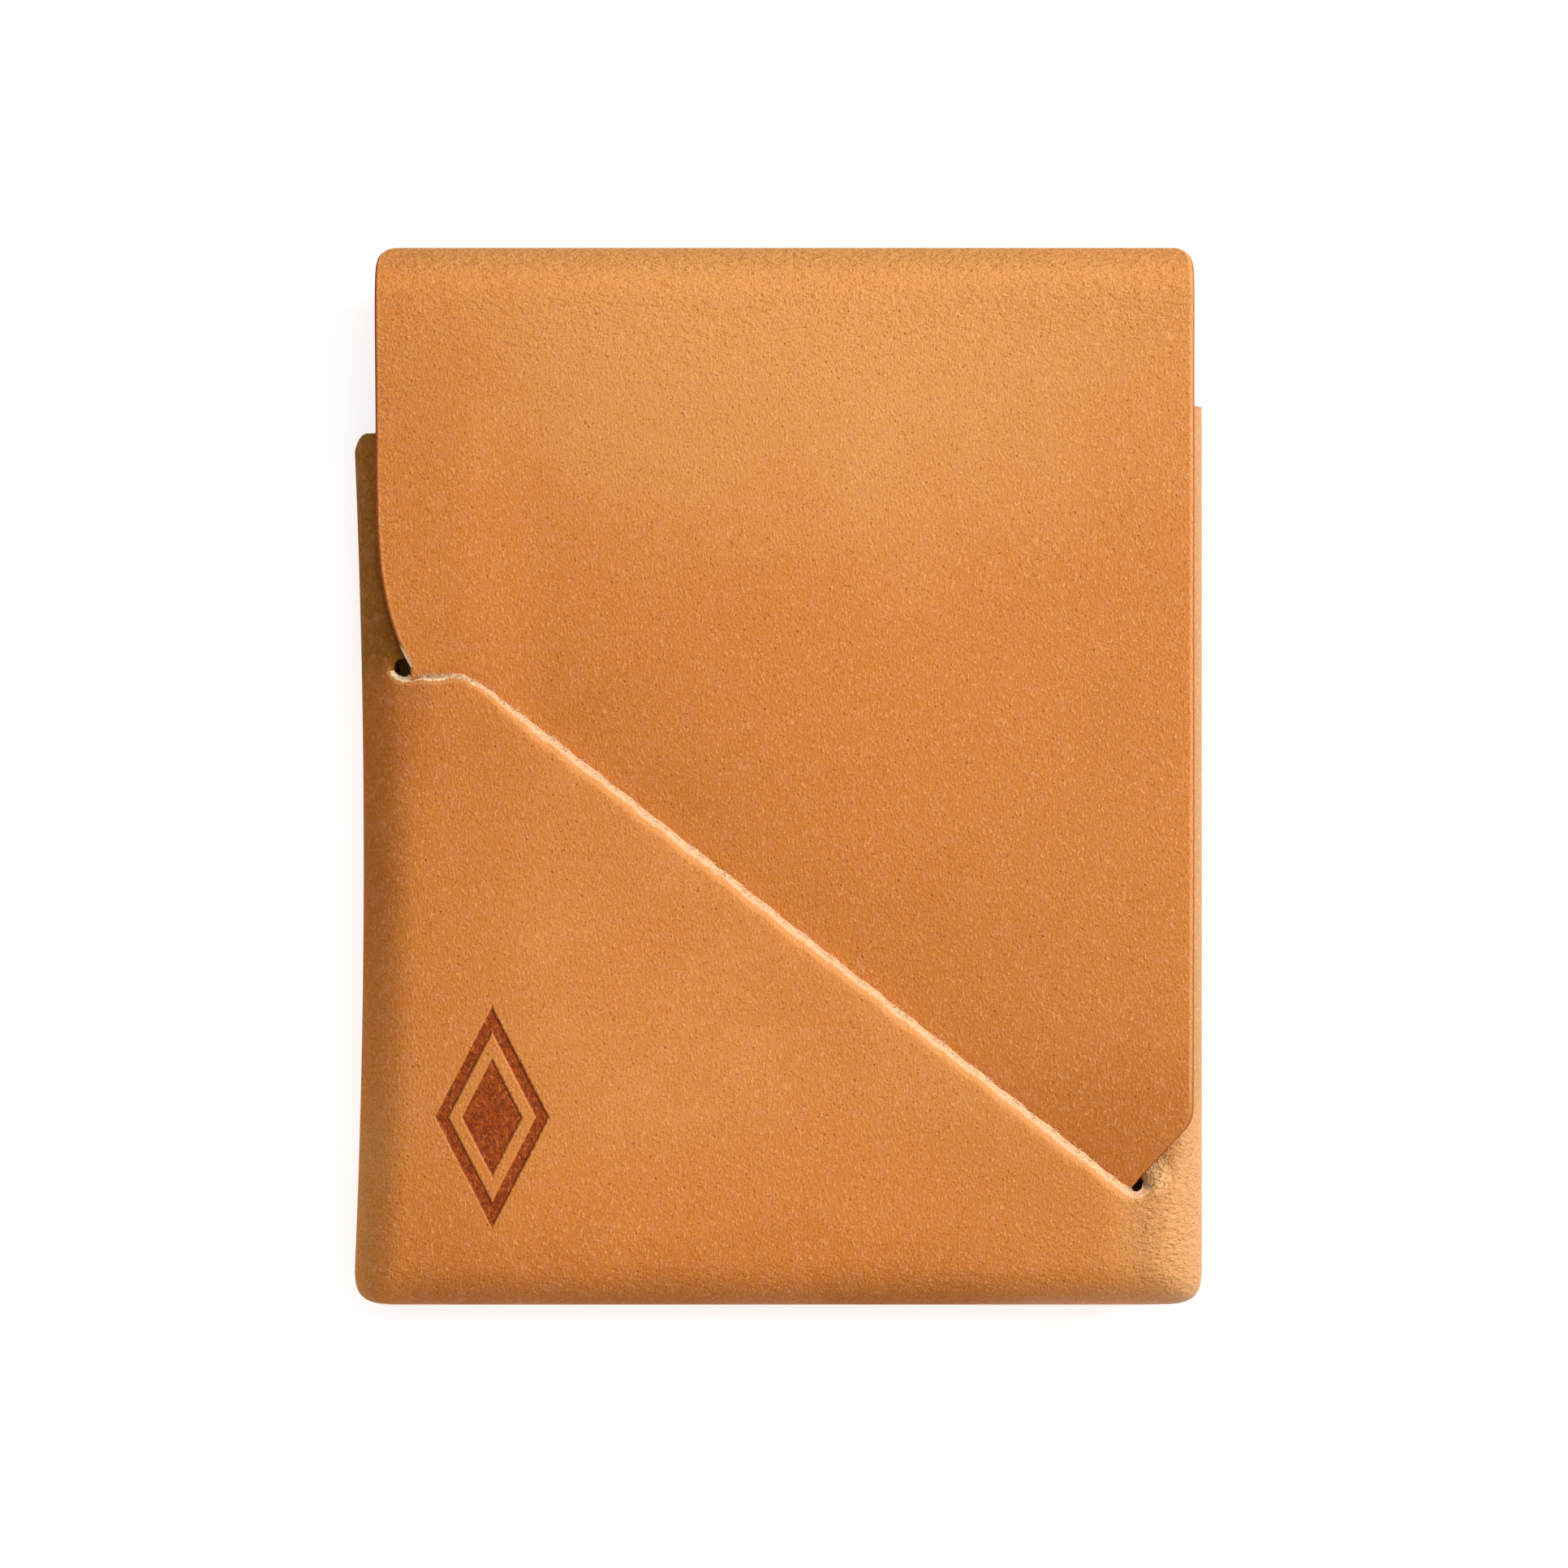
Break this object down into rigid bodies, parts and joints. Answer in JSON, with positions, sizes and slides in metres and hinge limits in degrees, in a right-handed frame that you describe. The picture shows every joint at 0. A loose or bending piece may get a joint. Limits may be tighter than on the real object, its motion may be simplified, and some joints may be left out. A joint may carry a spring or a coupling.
{
  "type": "leather card holder",
  "caption": "Stitch-free leather card holder folded from one sheet, with a full-width flap whose edge tucks through a diagonal slit in the pocket front.",
  "frame": {"origin": "centre of the underside of the closed holder, lying on its back", "axes": "+X towards the holder's right edge, +Y towards the top fold, +Z out of the front"},
  "size_m": [0.0804, 0.1, 0.0121],
  "materials": {
    "tan_leather": "vegetable-tanned honey tan, satin, fine grain",
    "flesh_side": "matt fibrous flesh side and raw cut edge"
  },
  "bodies": {
    "pouch": {"front_panel": "tan_leather", "left_side_fold": "tan_leather", "right_side_fold": "tan_leather", "left_back_wing": "tan_leather", "right_back_wing": "tan_leather", "bottom_fold": "tan_leather", "back_panel": "tan_leather"},
    "fold_back": {"top_fold_back": "tan_leather"},
    "fold_crown": {"top_fold_crown": "tan_leather"},
    "fold_front": {"top_fold_front": "tan_leather"},
    "flap": {"flap_panel": "tan_leather", "flap_tongue": "flesh_side"}
  },
  "joints": [
    {"name": "flap_opening", "type": "hinge", "parent": "pouch", "child": "fold_back", "pos_m": [0, 0.04695, 0.0017], "axis": [-1, 0, 0], "range_deg": [0, 45], "deforming": ["flap_tongue"]},
    {"name": "crown_bend", "type": "hinge", "parent": "fold_back", "child": "fold_crown", "pos_m": [0, 0.05, 0.00475], "axis": [-1, 0, 0], "range_deg": [0, 45]},
    {"name": "front_bend", "type": "hinge", "parent": "fold_crown", "child": "fold_front", "pos_m": [0, 0.05, 0.00905], "axis": [-1, 0, 0], "range_deg": [0, 45]},
    {"name": "flap_bend", "type": "hinge", "parent": "fold_front", "child": "flap", "pos_m": [0, 0.04695, 0.0121], "axis": [-1, 0, 0], "range_deg": [0, 45]}
  ],
  "couplings": [
    {"joint": "crown_bend", "follows": "flap_opening", "ratio": 1},
    {"joint": "front_bend", "follows": "flap_opening", "ratio": 1},
    {"joint": "flap_bend", "follows": "flap_opening", "ratio": 1}
  ]
}
